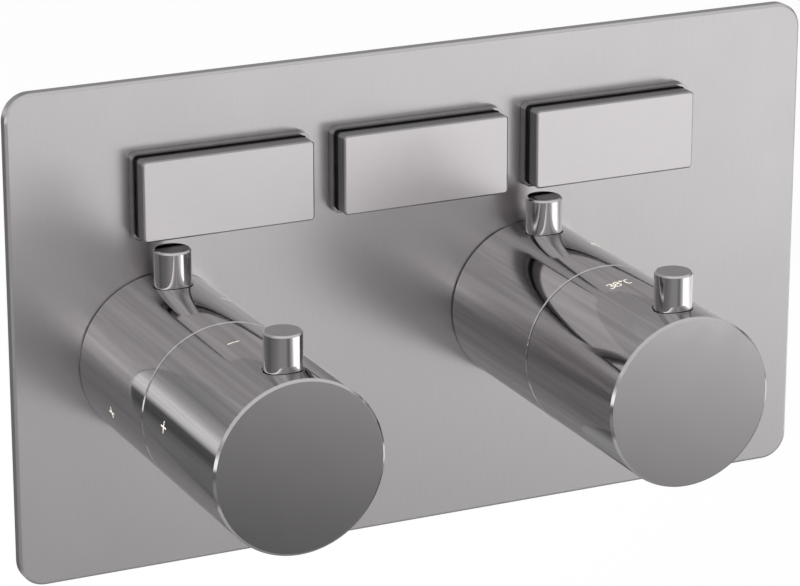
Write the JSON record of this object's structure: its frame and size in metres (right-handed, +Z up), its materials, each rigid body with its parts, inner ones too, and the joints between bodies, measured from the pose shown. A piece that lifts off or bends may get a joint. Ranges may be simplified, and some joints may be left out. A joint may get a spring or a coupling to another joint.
{
  "type": "thermostatic shower valve",
  "caption": "Concealed thermostatic shower valve: a rounded rectangular chrome plate with a row of push buttons and concentric lever controls, on an in-wall brass body.",
  "frame": {"origin": "centre of the cover plate on the plane of the finished wall, at the back of the plate's gasket", "axes": "+X to the right seen from the front, +Y into the wall, +Z up"},
  "size_m": [0.26, 0.164, 0.15],
  "materials": {
    "chrome": "polished chrome plate on brass",
    "brass": "turned and tumbled brass",
    "steel": "stainless steel",
    "black_plastic": "moulded black plastic",
    "white_plastic": "moulded natural acetal",
    "box_plastic": "moulded blue polypropylene",
    "rubber": "black EPDM rubber",
    "ceramic": "lapped alumina ceramic",
    "copper": "copper wax capsule"
  },
  "bodies": {
    "valve": {"cover_plate": "chrome", "plate_gasket": "rubber", "button_bezel_left": "chrome", "button_bezel_centre": "chrome", "button_bezel_right": "chrome", "push_springs": "steel", "push_valve_left": "brass", "push_valve_centre": "brass", "push_valve_right": "brass", "flow_cartridge": "white_plastic", "flow_retaining_nut": "brass", "flow_fixed_disc": "ceramic", "flow_base_seal": "rubber", "thermostat_cartridge": "white_plastic", "thermostat_retaining_nut": "brass", "return_spring": "steel", "ring_bushes": "white_plastic", "neck_seals": "rubber", "valve_body": "brass", "check_valves": "white_plastic", "check_valve_springs": "steel", "inlet_strainers": "steel", "wall_box": "box_plastic", "port_grommets": "rubber", "mounting_frame": "steel", "stud_grips": "rubber", "fixing_screws": "steel", "cartridge_o_rings": "rubber"},
    "left_button": {"button_cap_left": "chrome", "button_skirt_left": "black_plastic", "push_rod_left": "steel"},
    "centre_button": {"button_cap_centre": "chrome", "button_skirt_centre": "black_plastic", "push_rod_centre": "steel"},
    "right_button": {"button_cap_right": "chrome", "button_skirt_right": "black_plastic", "push_rod_right": "steel"},
    "flow_ring_group": {"flow_ring": "chrome", "flow_ring_lever": "chrome", "flow_ring_grub_screw": "steel", "flow_limit_sleeve": "brass"},
    "flow_handle_group": {"flow_handle": "chrome", "flow_handle_lever": "chrome", "flow_handle_grub_screw": "steel", "flow_spindle": "brass", "flow_moving_disc": "ceramic"},
    "limit_ring_group": {"limit_ring": "chrome", "limit_ring_lever": "chrome", "limit_ring_grub_screw": "steel", "temperature_limit_sleeve": "brass"},
    "temperature_handle_group": {"temperature_handle": "chrome", "temperature_handle_lever": "chrome", "temperature_handle_grub_screw": "steel", "temperature_spindle": "brass"},
    "thermostat_slider": {"setting_nut": "brass", "overload_spring": "steel", "wax_element": "copper", "mixing_shuttle": "white_plastic"},
    "hot_check": {"hot_poppet": "white_plastic"},
    "cold_check": {"cold_poppet": "white_plastic"}
  },
  "joints": [
    {"name": "press_left_button", "type": "slide", "parent": "valve", "child": "left_button", "axis": [0, 1, 0], "range_m": [0, 0.003], "stiffness_N_per_m": 1500, "springref_m": -0.002, "deforming": ["push_springs"]},
    {"name": "press_centre_button", "type": "slide", "parent": "valve", "child": "centre_button", "axis": [0, 1, 0], "range_m": [0, 0.003], "stiffness_N_per_m": 1500, "springref_m": -0.002, "deforming": ["push_springs"]},
    {"name": "press_right_button", "type": "slide", "parent": "valve", "child": "right_button", "axis": [0, 1, 0], "range_m": [0, 0.003], "stiffness_N_per_m": 1500, "springref_m": -0.002, "deforming": ["push_springs"]},
    {"name": "turn_flow_ring", "type": "hinge", "parent": "valve", "child": "flow_ring_group", "pos_m": [-0.0845, -0.055, -0.0086], "axis": [0, -1, 0], "range_deg": [0, 90]},
    {"name": "turn_flow_handle", "type": "hinge", "parent": "valve", "child": "flow_handle_group", "pos_m": [-0.0845, -0.055, -0.0086], "axis": [0, -1, 0], "range_deg": [0, 90]},
    {"name": "turn_limit_ring", "type": "hinge", "parent": "valve", "child": "limit_ring_group", "pos_m": [0.0358, -0.055, -0.0086], "axis": [0, -1, 0], "range_deg": [-45, 45]},
    {"name": "turn_temperature_handle", "type": "hinge", "parent": "valve", "child": "temperature_handle_group", "pos_m": [0.0358, -0.055, -0.0086], "axis": [0, -1, 0], "range_deg": [-135, 45]},
    {"name": "slide_thermostat", "type": "slide", "parent": "valve", "child": "thermostat_slider", "axis": [0, 1, 0], "range_m": [-0.0004, 0.0012], "deforming": ["return_spring"]},
    {"name": "open_hot_check_valve", "type": "slide", "parent": "valve", "child": "hot_check", "axis": [0, 0, 1], "range_m": [0, 0.003], "stiffness_N_per_m": 120, "springref_m": -0.002, "deforming": ["check_valve_springs"]},
    {"name": "open_cold_check_valve", "type": "slide", "parent": "valve", "child": "cold_check", "axis": [0, 0, 1], "range_m": [0, 0.003], "stiffness_N_per_m": 120, "springref_m": -0.002, "deforming": ["check_valve_springs"]}
  ],
  "couplings": [
    {"joint": "slide_thermostat", "follows": "turn_temperature_handle", "m_per_rad": -0.0005}
  ]
}
